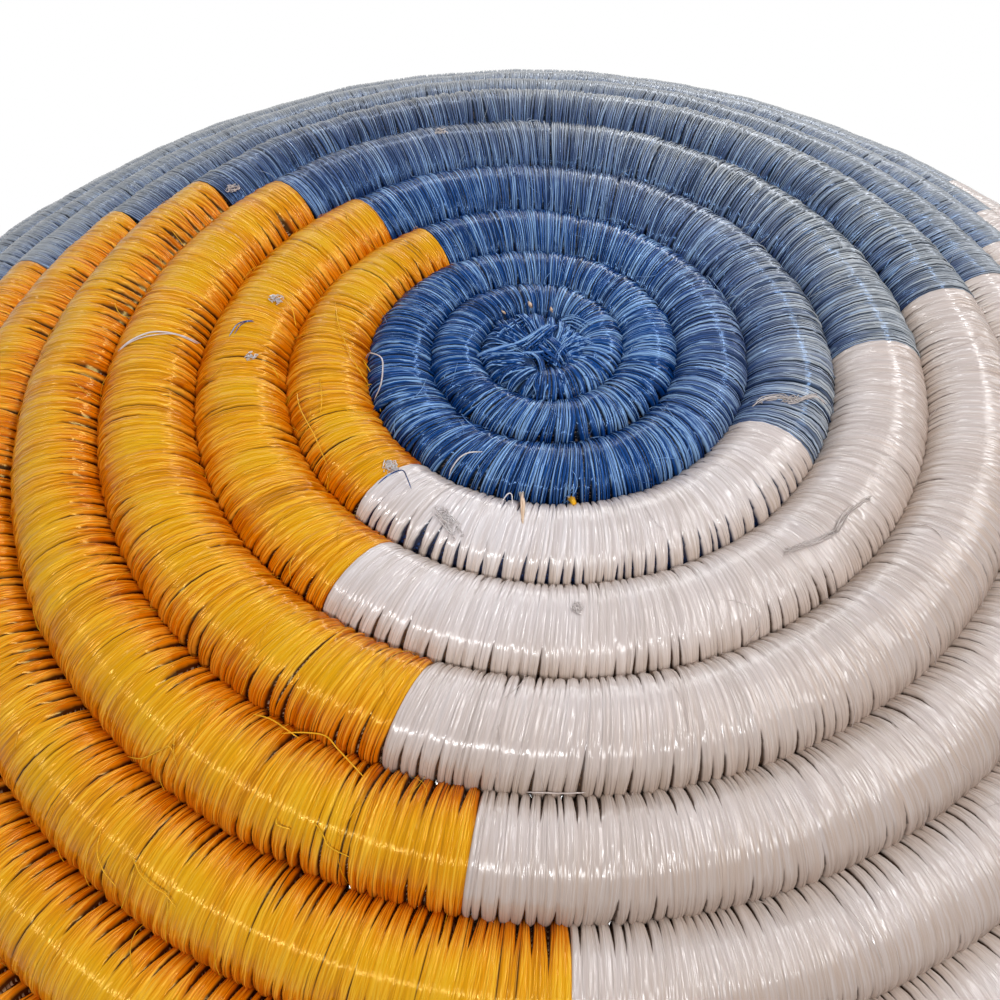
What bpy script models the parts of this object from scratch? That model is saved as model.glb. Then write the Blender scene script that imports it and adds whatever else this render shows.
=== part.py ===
"""Coiled basket bowl, standing mouth up.

A bundle of grass stems starts at a small bound knot in the centre of the base and winds outwards in one
spiral, flat at first and then up the wall to the rim. Dyed fibre is wrapped round it, one colour after
another, so that three arms of orange, white and blue swirl out of a blue centre. Each run of one colour is
a sleeve of its own on the bundle.

The origin is the centre of the underside, +Z points out of the mouth and -Y is the front. A place along
the coil is a number of turns: the coil leaves the knot at turn 1, each whole turn is at the front, and the
coil winds clockwise as seen from above.
"""

import math

import bmesh
import bpy
from mathutils import Vector

MM = 0.001

# The coil, measured from one turn to the next
COIL_PITCH = 10.0 * MM
START_PITCH = 4.6 * MM
GROWTH_TURNS = 3.9
TURN_GAP = 0.4 * MM
KNOT_RADIUS = 3.2 * MM
LAST_TURN = 18.9
RIM_TAPER_TURNS = 0.1
RIM_TIP_SHARE = 0.4

# The fibre wrapped round the bundle
WRAP_THICKNESS = 0.8 * MM
WRAP_CLEARANCE = 0.3 * MM

# The bowl's side view, along the middle of the coils: a flat base, a tight bend and one long arc
BASE_RUN = 43.0 * MM
BEND_RADIUS = 22.0 * MM
BEND_ANGLE = math.radians(21.0)
WALL_RADIUS = 180.0 * MM

# Where each arm of colour starts, in degrees round from the front on the third turn and the turns after
# it. On later turns each start moves on by ARM_STEP.
ARM_STARTS = {
    "orange": (219, 225, 232, 238, 245, 253),
    "white": (325, 333, 348, 357, 365),
    "blue": (426, 454, 465, 470, 478),
}
ARM_ORDER = ("orange", "white", "blue")
FIRST_ARM_TURN = 3
ARM_STEP = 8.0

# The coil's section on a circle of radius 1: x runs outwards along the wall, y up out of the bowl. The
# short sides face the turns beside it, the long ones are the bowl's inner and outer faces. The bundle and
# the hole it fills are six-sided.
SIDE_HALF_ANGLE = math.radians(12.0)
FACE_HALF_WIDTH = 0.42
BUNDLE_SIDES = 6

# The solids follow the spiral in straight steps, twice as many to a turn once the turns are large
COARSE_STEPS = 10
FINE_STEPS = 2 * COARSE_STEPS
FINE_FROM_TURN = 3

KNOT_EDGE = 0.5 * MM

COLORS = {
    "orange": (0.75, 0.30, 0.015),
    "white": (0.68, 0.62, 0.56),
    "blue": (0.015, 0.06, 0.22),
    "straw": (0.45, 0.33, 0.16),
}
FIBRE_ROUGHNESS = 0.45
STRAW_ROUGHNESS = 0.8


def smooth_step(x):
    """Go from 0 to 1 without a corner at either end."""
    x = min(max(x, 0.0), 1.0)
    return x * x * (3.0 - 2.0 * x)


def grown_pitch(turn):
    """Thickness of the coil with its share of the gap: thin at the knot and full later."""
    return START_PITCH + (COIL_PITCH - START_PITCH) * smooth_step((turn - 1.0) / GROWTH_TURNS)


def pitch_at(turn):
    """Thickness of the coil with its share of the gap, where its tip also tapers."""
    tapered = smooth_step((turn - LAST_TURN + RIM_TAPER_TURNS) / RIM_TAPER_TURNS)
    return grown_pitch(turn) * (1.0 - (1.0 - RIM_TIP_SHARE) * tapered)


def groove_run(turn):
    """Distance from the centre, along the wall, to the groove outside the coil at this turn."""
    inside_first = turn % 1.0
    run = KNOT_RADIUS + START_PITCH * inside_first
    for turns_out in range(1, int(turn) + 1):
        run += pitch_at(inside_first + turns_out)
    return run


def coil_radius(turn):
    """Radius of the coil itself."""
    return (pitch_at(turn) - TURN_GAP) / 2.0


FULL_RADIUS = (COIL_PITCH - TURN_GAP) / 2.0


def wall_point(run):
    """Radius, height and slope of the middle of a full coil at this distance along the wall."""
    radius, height, slope = min(run, BASE_RUN), FULL_RADIUS, 0.0
    left = max(run - BASE_RUN, 0.0)
    for arc_radius, arc_run in ((BEND_RADIUS, BEND_RADIUS * BEND_ANGLE), (WALL_RADIUS, math.inf)):
        along = min(left, arc_run)
        new_slope = slope + along / arc_radius
        radius += arc_radius * (math.sin(new_slope) - math.sin(slope))
        height += arc_radius * (math.cos(slope) - math.cos(new_slope))
        slope = new_slope
        left -= along
    return radius, height, slope


def outward(turn):
    """Level direction from the centre towards this turn."""
    angle = 2.0 * math.pi * turn
    return Vector((-math.sin(angle), -math.cos(angle), 0.0))


def coil_outline():
    """Corners of the coil's section on a circle of radius 1."""
    side = (math.cos(SIDE_HALF_ANGLE), math.sin(SIDE_HALF_ANGLE))
    quarter = (side, (FACE_HALF_WIDTH, 1.0))
    upper = quarter + tuple((-x, y) for x, y in reversed(quarter))
    return upper + tuple((-x, -y) for x, y in upper)


def bundle_outline():
    """Corners of the bundle's section on a circle of radius 1."""
    angles = [2.0 * math.pi * corner / BUNDLE_SIDES for corner in range(BUNDLE_SIDES)]
    return [(math.cos(angle), math.sin(angle)) for angle in angles]


def exact_section(turn, outline, inset):
    """Corners of an outline set on the coil's middle at this turn, inset from the coil's surface."""
    run = (groove_run(turn) + groove_run(turn - 1.0)) / 2.0
    radius, height, slope = wall_point(run)
    out = outward(turn)
    along_wall = out * math.cos(slope) + Vector((0.0, 0.0, math.sin(slope)))
    up_from_wall = Vector((0.0, 0.0, math.cos(slope))) - out * math.sin(slope)
    sunk = (COIL_PITCH - grown_pitch(turn)) / 2.0
    centre = out * radius + Vector((0.0, 0.0, height)) - up_from_wall * sunk
    size = coil_radius(turn) - inset
    return [centre + along_wall * (x * size) + up_from_wall * (y * size) for x, y in outline]


def step_at(turn):
    """Length in turns of the straight step that this turn lies on."""
    return 1.0 / (COARSE_STEPS if turn < FINE_FROM_TURN else FINE_STEPS)


def section(turn, outline, inset):
    """Corners of the section on the straight step between the two stations around this turn."""
    step = step_at(turn)
    before = math.floor(turn / step) * step
    share = (turn - before) / step
    near, far = exact_section(before, outline, inset), exact_section(before + step, outline, inset)
    return [a.lerp(b, share) for a, b in zip(near, far)]


def stations(first, last):
    """Turns at which a piece of coil from first to last has a section."""
    turns = [first]
    for number in range(math.floor(first * FINE_STEPS) + 1, math.ceil(last * FINE_STEPS)):
        turn = number / FINE_STEPS
        if turn >= FINE_FROM_TURN or number % 2 == 0:
            turns.append(turn)
    return turns + [last]


def turns_for(length, turn):
    """Turns that this length takes up along the coil here."""
    radius = wall_point((groove_run(turn) + groove_run(turn - 1.0)) / 2.0)[0]
    return length / (2.0 * math.pi * radius)


def new_collection(name):
    """Add a collection to the scene."""
    collection = bpy.data.collections.new(name)
    bpy.context.scene.collection.children.link(collection)
    return collection


def new_material(name, color, roughness):
    """Make a plain Principled material."""
    material = bpy.data.materials.new(name)
    material.use_nodes = True
    shader = material.node_tree.nodes["Principled BSDF"]
    shader.inputs["Base Color"].default_value = (*color, 1.0)
    shader.inputs["Roughness"].default_value = roughness
    shader.inputs["Metallic"].default_value = 0.0
    material.diffuse_color = (*color, 1.0)
    return material


def add_mesh_object(name, bm, material, collection):
    """Turn a bmesh into a named object with smooth sides and sharp ends."""
    bmesh.ops.recalc_face_normals(bm, faces=bm.faces)
    mesh = bpy.data.meshes.new(name)
    bm.to_mesh(mesh)
    bm.free()
    mesh.materials.append(material)
    mesh.shade_smooth()
    mesh.set_sharp_from_angle(angle=math.radians(60.0))
    obj = bpy.data.objects.new(name, mesh)
    collection.objects.link(obj)
    return obj


def add_skin(bm, turns, outline, inset):
    """Loft the outline through its sections at these turns and return the rings of vertices."""
    rings = [[bm.verts.new(corner) for corner in section(turn, outline, inset)] for turn in turns]
    for near, far in zip(rings, rings[1:]):
        for corner in range(len(near)):
            before = corner - 1
            bm.faces.new((near[before], near[corner], far[corner], far[before]))
    return rings


def ring_edges(bm, ring):
    """List the edges round a ring of vertices."""
    return [bm.edges.get((ring[corner - 1], ring[corner])) for corner in range(len(ring))]


def add_sleeve(name, first, last, material, collection):
    """Model one run of wrapped fibre: a tube round the bundle, open at both ends."""
    bm = bmesh.new()
    turns = stations(first, last)
    outside = add_skin(bm, turns, coil_outline(), 0.0)
    hole = add_skin(bm, turns, bundle_outline(), WRAP_THICKNESS)
    for end in (0, -1):
        rims = ring_edges(bm, outside[end]) + ring_edges(bm, hole[end])
        bmesh.ops.triangle_fill(bm, use_beauty=True, edges=rims)
    return add_mesh_object(name, bm, material, collection)


def add_bundle(name, first, last, material, collection):
    """Model the bundle of grass stems as one long rod with closed ends."""
    bm = bmesh.new()
    rings = add_skin(bm, stations(first, last), bundle_outline(), WRAP_THICKNESS + WRAP_CLEARANCE)
    bm.faces.new(rings[0])
    bm.faces.new(rings[-1])
    return add_mesh_object(name, bm, material, collection)


def add_knot(name, material, collection):
    """Model the bound first bend: a flat button whose outline follows the first turn's inner side."""
    outline = bpy.data.curves.new(name, "CURVE")
    outline.dimensions = "2D"
    outline.fill_mode = "BOTH"
    height = 2.0 * coil_radius(1.0)
    outline.extrude = height / 2.0
    last = 1.0 - turns_for(TURN_GAP, 1.0)
    turns = [number / COARSE_STEPS for number in range(COARSE_STEPS)] + [last]
    spline = outline.splines.new("POLY")
    spline.points.add(len(turns) - 1)
    for point, turn in zip(spline.points, turns):
        place = outward(turn) * (groove_run(turn) - TURN_GAP / 2.0)
        point.co = (place.x, place.y, 0.0, 1.0)
    spline.use_cyclic_u = True
    outline.materials.append(material)
    knot = bpy.data.objects.new(name, outline)
    knot.location.z = height / 2.0
    collection.objects.link(knot)
    weld = knot.modifiers.new("weld caps", "WELD")
    weld.merge_threshold = 0.01 * MM
    edge = knot.modifiers.new("rounded edge", "BEVEL")
    edge.width = KNOT_EDGE
    edge.segments = 1
    edge.limit_method = "ANGLE"
    edge.angle_limit = math.radians(60.0)
    return knot


def arm_start(color, number):
    """Turn at which the arm of this colour starts for the given time, counted from 0."""
    given = ARM_STARTS[color]
    known = min(number, len(given) - 1)
    degrees = given[known] + ARM_STEP * (number - known)
    return FIRST_ARM_TURN + number + degrees / 360.0


def color_changes(last):
    """List each change of colour before the last turn as (turn, colour, number)."""
    changes = []
    number = 0
    while arm_start(ARM_ORDER[0], number) < last:
        changes += [(arm_start(color, number), color, number + 1) for color in ARM_ORDER]
        number += 1
    return [change for change in changes if change[0] < last]


def build():
    """Model the whole basket."""
    for obj in list(bpy.data.objects):
        bpy.data.objects.remove(obj)
    parts = new_collection("coiled_basket_bowl")
    fibre = {color: new_material(color + "_fibre", COLORS[color], FIBRE_ROUGHNESS) for color in ARM_ORDER}
    straw = new_material("grass_straw", COLORS["straw"], STRAW_ROUGHNESS)

    coil_start = 1.0 + turns_for(TURN_GAP, 1.0)
    rim_start = LAST_TURN - RIM_TAPER_TURNS
    add_knot("start_knot", fibre["blue"], parts)
    add_bundle("foundation_coil", coil_start, LAST_TURN, straw, parts)

    runs = [(coil_start, "blue", "blue_centre_wrap")]
    runs += [(turn, color, f"{color}_wrap_{number:02d}") for turn, color, number in color_changes(rim_start)]
    runs.append((rim_start, runs[-1][1], "rim_finish_wrap"))
    ends = [run[0] for run in runs[1:]] + [LAST_TURN]
    for (start, color, name), end in zip(runs, ends):
        first = start + turns_for(WRAP_CLEARANCE / 2.0, start)
        last = end - turns_for(WRAP_CLEARANCE / 2.0, end)
        add_sleeve(name, first, last, fibre[color], parts)


build()
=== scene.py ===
"""Looks of the coiled basket bowl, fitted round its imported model.

The bowl is one long bundle of grass, wound into a spiral and bound stitch by stitch with split sisal. Each
plain sleeve of the model is replaced by a run of real stitches, the coil inside them by a smooth bundle and
the button at the centre by knotted strands. Loose fibres and snags lie where the photograph has them.

Lengths here are in millimetres until a mesh is made. As in the model, a place along the coil is a number
of turns: each whole turn is at the front, and the coil winds clockwise as seen from above. A place round
the coil's section is an angle: 0 faces the next turn out, a quarter turn faces down, out of the bowl, and
half a turn faces the turn before.
"""

import logging
import math
from collections.abc import Iterable
from dataclasses import dataclass, replace
from enum import Enum

import bpy
import numpy as np
from bpy.types import Material, Node, NodeSocket, NodeTree, Object
from mathutils import Matrix, Vector


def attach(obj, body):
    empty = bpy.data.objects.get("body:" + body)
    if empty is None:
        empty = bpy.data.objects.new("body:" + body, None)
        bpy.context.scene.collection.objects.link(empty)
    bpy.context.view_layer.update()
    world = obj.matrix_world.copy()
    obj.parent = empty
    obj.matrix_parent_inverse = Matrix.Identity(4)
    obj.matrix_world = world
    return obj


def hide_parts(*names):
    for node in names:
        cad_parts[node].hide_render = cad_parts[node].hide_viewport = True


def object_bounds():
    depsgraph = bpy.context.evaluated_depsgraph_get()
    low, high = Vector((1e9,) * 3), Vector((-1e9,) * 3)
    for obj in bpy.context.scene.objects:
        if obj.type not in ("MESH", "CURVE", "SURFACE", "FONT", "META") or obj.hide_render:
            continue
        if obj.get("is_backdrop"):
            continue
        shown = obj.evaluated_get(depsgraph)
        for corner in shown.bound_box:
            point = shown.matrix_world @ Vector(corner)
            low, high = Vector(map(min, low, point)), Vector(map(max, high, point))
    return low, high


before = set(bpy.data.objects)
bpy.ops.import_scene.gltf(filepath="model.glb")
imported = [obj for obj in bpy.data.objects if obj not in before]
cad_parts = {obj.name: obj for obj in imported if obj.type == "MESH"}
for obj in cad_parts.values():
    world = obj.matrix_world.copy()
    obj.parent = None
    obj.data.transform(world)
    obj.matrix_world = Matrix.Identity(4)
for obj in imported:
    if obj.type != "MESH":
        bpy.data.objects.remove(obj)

Array = np.ndarray
Pair = tuple[float, float]
Point = tuple[float, float, float]

MM = 0.001
BODY = "root"
WHITE = (1.0, 1.0, 1.0, 1.0)
LOG = logging.getLogger("basket")

# What a mesh stores at its corners for its material to read, three numbers each. "strand" is the place
# along the coil and in its section, in millimetres. "stitch" is the strand's tint, which in runs of
# stitches holds painted light on one shoulder and painted shade on the other, how much painted shade it
# takes in a seam or gap, and how deep it lies in a groove. "coil" is the turn, and how far it faces
# outwards and down.
FACTS = ("strand", "stitch", "coil")


class Dye(Enum):
    """The three colours of sisal, named as the model names them."""

    ORANGE = "orange"
    WHITE = "white"
    BLUE = "blue"


def smooth_step(value: Array) -> Array:
    """Go from 0 to 1 without a corner at either end."""
    value = np.clip(value, 0.0, 1.0)
    return value * value * (3.0 - 2.0 * value)


def linear(hex_colour: str) -> tuple[float, float, float, float]:
    """Turn an sRGB hex colour into linear values.

    Args:
        hex_colour: The colour as "#rrggbb".

    Returns:
        Linear red, green and blue, and an alpha of 1.
    """
    channels = [int(hex_colour[start : start + 2], 16) / 255.0 for start in (1, 3, 5)]
    red, green, blue = [c / 12.92 if c <= 0.04045 else ((c + 0.055) / 1.055) ** 2.4 for c in channels]
    return red, green, blue, 1.0


def add_node(
    tree: NodeTree, kind: str, *feeds: object, inputs: dict | None = None, **settings: object
) -> Node:
    """Add a shader node with its settings, constants and links.

    Args:
        tree: The node tree to add to.
        kind: The node's Blender type, without the ShaderNode that each of them starts with.
        *feeds: What its inputs in use get, in their order: a constant, a socket, or a node, which gives
            its first output in use.
        inputs: The same for single inputs, by their names.
        **settings: Properties of the node itself.

    Returns:
        The new node.
    """
    node = tree.nodes.new(f"ShaderNode{kind}")
    for name, value in settings.items():
        setattr(node, name, value)
    given = list(zip((socket for socket in node.inputs if socket.enabled), feeds))
    given += [(node.inputs[name], feed) for name, feed in (inputs or {}).items()]
    for socket, feed in given:
        if isinstance(feed, Node):
            feed = next(output for output in feed.outputs if output.enabled)
        if isinstance(feed, NodeSocket):
            tree.links.new(feed, socket)
        else:
            socket.default_value = feed
    return node


def new_material(name: str) -> tuple[Material, NodeTree]:
    """Make a node material, and give it with its still empty tree."""
    material = bpy.data.materials.new(name)
    material.use_nodes = True
    material.node_tree.nodes.clear()
    return material, material.node_tree


@dataclass(frozen=True)
class SisalFinish:
    """Sisal leaf split into hair-thin fibres, dyed in the hank and wound on damp under tension.

    The fibres lie side by side, so the eye sees fine streaks along each stitch and one long gleam on the
    crown of the coil, where all of them turn over. Dye takes unevenly, so strands differ in depth. The
    outer turns carry a painted grey sheen on the outside, more on one side of the bowl, and keep their
    colour inside the bowl.

    The colours are those of the dye, of pale and of deep strands, of the coil's crown, of the painted
    shade and bounce light in its grooves, of the painted shade at the bottom of seams and gaps and the
    grass in them, and of the painted sheen, light and dark. A span holds the two values between which
    something sets in.
    """

    title: str
    body: str
    pale: str
    deep: str
    crown: str
    # Painted shade and bounce light in the grooves.
    hollow: str
    # Painted shade at the bottom of seams and gaps, then the grass seen in wide gaps.
    gap_shade: str
    lining: str
    # Painted grey sheen, light and dark, and how strongly it is laid on.
    painted_sheen: str
    painted_sheen_deep: str
    painted_sheen_share: float
    fibre: float
    hairs: float
    streaks: float
    patches: float
    tint: float
    crown_share: float
    groove_shade_share: float
    roughness: float
    dull_roughness: float
    bump: float
    gloss: float
    gloss_tint: str

    ior: float = 1.53
    streak_length: float = 9.0
    streak_span: Pair = (0.3, 0.7)
    patch_width: float = 4.0
    patch_length: float = 9.0
    patch_span: Pair = (0.35, 0.65)
    stem_width: float = 0.25
    stem_length: float = 3.0
    stem_span: Pair = (0.5, 0.6)
    hair_width: float = 0.13
    hair_length: float = 5.0
    hair_skew: float = 0.13
    hair_span: Pair = (0.6, 0.75)
    glint_width: float = 0.25
    glint_length: float = 1.5
    glint_bump: float = 0.05
    body_span: Pair = (0.0, 0.5)
    pale_from: float = 0.5
    crown_reach: float = 0.5
    faint_span: Pair = (-0.8, 1.0)
    # Where the painted sheen lies, and the far turns where it grows even.
    painted_sheen_span: Pair = (4.1, 7.4)
    painted_sheen_side: float = 1.3
    outer_span: Pair = (-1.1, 0.3)
    outside_span: Pair = (-0.7, -0.1)
    even_sheen_span: Pair = (5.6, 7.4)
    even_sheen: float = 0.8
    even_sheen_level: float = 0.45
    gap_span: Pair = (0.1, 0.5)
    wide_span: Pair = (0.7, 1.0)

    def material(self) -> Material:
        """Build the node material of this finish."""
        material, tree = new_material(self.title)
        strand, facts, turns = (
            add_node(tree, "Attribute", attribute_name=name).outputs["Vector"] for name in FACTS
        )
        tint, gap, groove = add_node(tree, "SeparateXYZ", facts).outputs
        turn, outwards, downwards = add_node(tree, "SeparateXYZ", turns).outputs

        fine = self._noise(tree, strand, self.fibre, self.streak_length, 1.0)
        fine = add_node(tree, "MapRange", fine, *self.streak_span)
        patch = self._noise(tree, strand, self.patch_width, self.patch_length, 2.0)
        patch = add_node(tree, "MapRange", patch, *self.patch_span)
        skews = (self.hair_skew, -self.hair_skew)
        crossing = [self._noise(tree, strand, self.hair_width, self.hair_length, 0.0, skew) for skew in skews]
        hair = add_node(tree, "Math", *crossing, operation="MAXIMUM")
        hair = add_node(tree, "MapRange", hair, *self.hair_span)
        level = 0.5 - 0.5 * (self.streaks + self.tint + self.patches)
        marks = ((fine, self.streaks), (tint, self.tint), (patch, self.patches), (hair, self.hairs))
        for value, size in marks:
            level = add_node(tree, "Math", value, size, level, operation="MULTIPLY_ADD")

        body = add_node(tree, "MapRange", level, *self.body_span)
        pale = add_node(tree, "MapRange", level, self.pale_from, 1.0)
        crown = add_node(tree, "MapRange", groove, 0.0, self.crown_reach, self.crown_share, 0.0)
        patched = add_node(tree, "MapRange", patch, *self.faint_span)
        crown = add_node(tree, "Math", crown, patched, operation="MULTIPLY")
        # Painted shade and bounce light, growing towards the grooves.
        hollow = add_node(tree, "Math", groove, self.groove_shade_share, operation="MULTIPLY")

        # Painted grey sheen on the outer, lower side of the outer turns, more on one side of the bowl.
        bearing = add_node(tree, "Math", turn, math.tau, operation="MULTIPLY")
        side = add_node(tree, "Math", bearing, operation="SINE")
        painted_sheen = add_node(tree, "Math", side, self.painted_sheen_side, turn, operation="MULTIPLY_ADD")
        painted_sheen = add_node(tree, "MapRange", painted_sheen, *self.painted_sheen_span)
        outer = add_node(tree, "MapRange", outwards, *self.outer_span)
        outside = add_node(tree, "MapRange", downwards, *self.outside_span)
        streaked = add_node(tree, "MapRange", fine, *self.faint_span)
        for share in (outer, outside, streaked, self.painted_sheen_share):
            painted_sheen = add_node(tree, "Math", painted_sheen, share, operation="MULTIPLY")
        # The painted sheen grows even on the far turns.
        even_sheen = add_node(tree, "MapRange", turn, *self.even_sheen_span, 0.0, self.even_sheen)
        even = add_node(tree, "Mix", even_sheen, level, self.even_sheen_level, data_type="FLOAT")
        ends = linear(self.painted_sheen_deep), linear(self.painted_sheen)
        graded = add_node(tree, "Mix", even, *ends, data_type="RGBA")

        # Painted shade at the bottom of seams and gaps, with grass stems showing in the wide ones.
        stem = self._noise(tree, strand, self.stem_length, self.stem_width, 1.0)
        stem = add_node(tree, "MapRange", stem, *self.stem_span)
        wide = add_node(tree, "MapRange", gap, *self.wide_span)
        stem = add_node(tree, "Math", stem, wide, operation="MULTIPLY")
        ends = linear(self.gap_shade), linear(self.lining)
        inside = add_node(tree, "Mix", stem, *ends, data_type="RGBA")
        opened = add_node(tree, "MapRange", gap, *self.gap_span)

        colour = linear(self.deep)
        dyes = ((body, self.body), (pale, self.pale), (crown, self.crown), (hollow, self.hollow))
        layers = [(share, linear(dye)) for share, dye in dyes] + [(painted_sheen, graded), (opened, inside)]
        for share, over in layers:
            colour = add_node(tree, "Mix", share, colour, over, data_type="RGBA")

        glint = self._noise(tree, strand, self.glint_width, self.glint_length, 0.0)
        tilt = add_node(tree, "Bump", inputs={"Height": glint, "Distance": self.glint_bump * MM})
        inputs = {"Height": fine, "Distance": self.bump * MM, "Normal": tilt}
        inputs = {
            "Base Color": colour,
            "Normal": add_node(tree, "Bump", inputs=inputs),
            "Roughness": add_node(tree, "MapRange", fine, 0.0, 1.0, self.roughness, self.dull_roughness),
            "IOR": self.ior,
            "Specular IOR Level": self.gloss,
            "Specular Tint": linear(self.gloss_tint),
        }
        add_node(tree, "OutputMaterial", add_node(tree, "BsdfPrincipled", inputs=inputs))
        return material

    @staticmethod
    def _noise(
        tree: NodeTree, strand: NodeSocket, width: float, length: float, detail: float, skew: float = 0.0
    ) -> Node:
        """Give noise drawn out along the fibres.

        Args:
            tree: The material's node tree.
            strand: Place along the coil and in its section, in millimetres.
            width: Width of a streak across the fibres.
            length: Length of a streak along them.
            detail: How many finer octaves are added.
            skew: Angle between the streaks and the fibres, in radians.

        Returns:
            The noise, from 0 to 1.
        """
        inputs = {"Vector": strand, "Rotation": (0.0, 0.0, skew), "Scale": (width, length, length)}
        scaled = add_node(tree, "Mapping", inputs=inputs, vector_type="TEXTURE")
        return add_node(tree, "TexNoise", inputs={"Vector": scaled, "Scale": 1.0, "Detail": detail})


# Groove colours are painted shade and bounce light, gap colours painted shade, grey colours painted sheen.
FINISHES = {
    Dye.ORANGE: SisalFinish(
        title="orange sisal", body="#da8200", pale="#f4b83a", deep="#9a4400", crown="#d09c00",
        hollow="#d46600", gap_shade="#3a1806", lining="#c8a888", painted_sheen="#dcb480", painted_sheen_deep="#a06c34",
        painted_sheen_share=0.05, fibre=0.16, hairs=0.4, streaks=0.75, patches=0.2, tint=0.65, crown_share=0.75,
        groove_shade_share=0.75, roughness=0.09, dull_roughness=0.2, bump=0.035, gloss=0.32,
        gloss_tint="#ffdc84",
    ),
    Dye.WHITE: SisalFinish(
        title="undyed white sisal", body="#cbbfbc", pale="#dcd5d5", deep="#b9aca5", crown="#cac3c7",
        hollow="#bda488", gap_shade="#46342a", lining="#7a5638", painted_sheen="#bba79b", painted_sheen_deep="#9c897c",
        painted_sheen_share=1.2, fibre=0.2, hairs=0.35, streaks=0.7, patches=0.3, tint=0.4, crown_share=0.5,
        groove_shade_share=0.5, roughness=0.1, dull_roughness=0.26, bump=0.04, gloss=0.6,
        gloss_tint="#ffffff",
    ),
    Dye.BLUE: SisalFinish(
        title="blue sisal", body="#0b4084", pale="#8db2de", deep="#01123c", crown="#144c92",
        hollow="#031a44", gap_shade="#01040c", lining="#6a5c50", painted_sheen="#b6babe", painted_sheen_deep="#3e4a58",
        painted_sheen_share=2.6, fibre=0.12, hairs=0.55, streaks=0.6, patches=0.15, tint=0.75, crown_share=0.2,
        groove_shade_share=0.5, roughness=0.08, dull_roughness=0.2, bump=0.035, gloss=0.32,
        gloss_tint="#98c4ff", pale_from=0.64, hair_width=0.1, hair_length=12.0, hair_skew=0.07,
    ),
}
SNAG_FINISH = replace(
    FINISHES[Dye.WHITE], title="weathered sisal", body="#dad0cb", pale="#f2efef", deep="#b3a69e", gloss=0.3
)
PEACH_FINISH = replace(
    FINISHES[Dye.WHITE], title="yellowed sisal", body="#e2bd92", pale="#f3e2c0", deep="#cc9c6c", gloss=0.3
)
# White sisal over the blue layer: its gaps show the blue, under painted shade.
WHITE_OVER_BLUE = replace(
    FINISHES[Dye.WHITE], title="white sisal over a blue layer", gap_shade="#0a1834", lining="#27467a"
)


@dataclass(frozen=True)
class StrawFinish:
    """Dry grass stems: matt and straw coloured, ribbed along their length."""

    title: str = "grass straw"
    body: str = "#b39a68"
    deep: str = "#8a7244"
    stem: float = 1.4
    detail: float = 3.0
    roughness: float = 0.75
    bump: float = 0.2

    def material(self) -> Material:
        """Build the node material of this finish."""
        material, tree = new_material(self.title)
        place = add_node(tree, "TexCoord").outputs["Object"]
        inputs = {"Vector": place, "Scale": 1.0 / (self.stem * MM), "Detail": self.detail}
        noise = add_node(tree, "TexNoise", inputs=inputs)
        ends = linear(self.deep), linear(self.body)
        inputs = {
            "Base Color": add_node(tree, "Mix", noise, *ends, data_type="RGBA"),
            "Normal": add_node(tree, "Bump", inputs={"Height": noise, "Distance": self.bump * MM}),
            "Roughness": self.roughness,
        }
        add_node(tree, "OutputMaterial", add_node(tree, "BsdfPrincipled", inputs=inputs))
        return material


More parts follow.
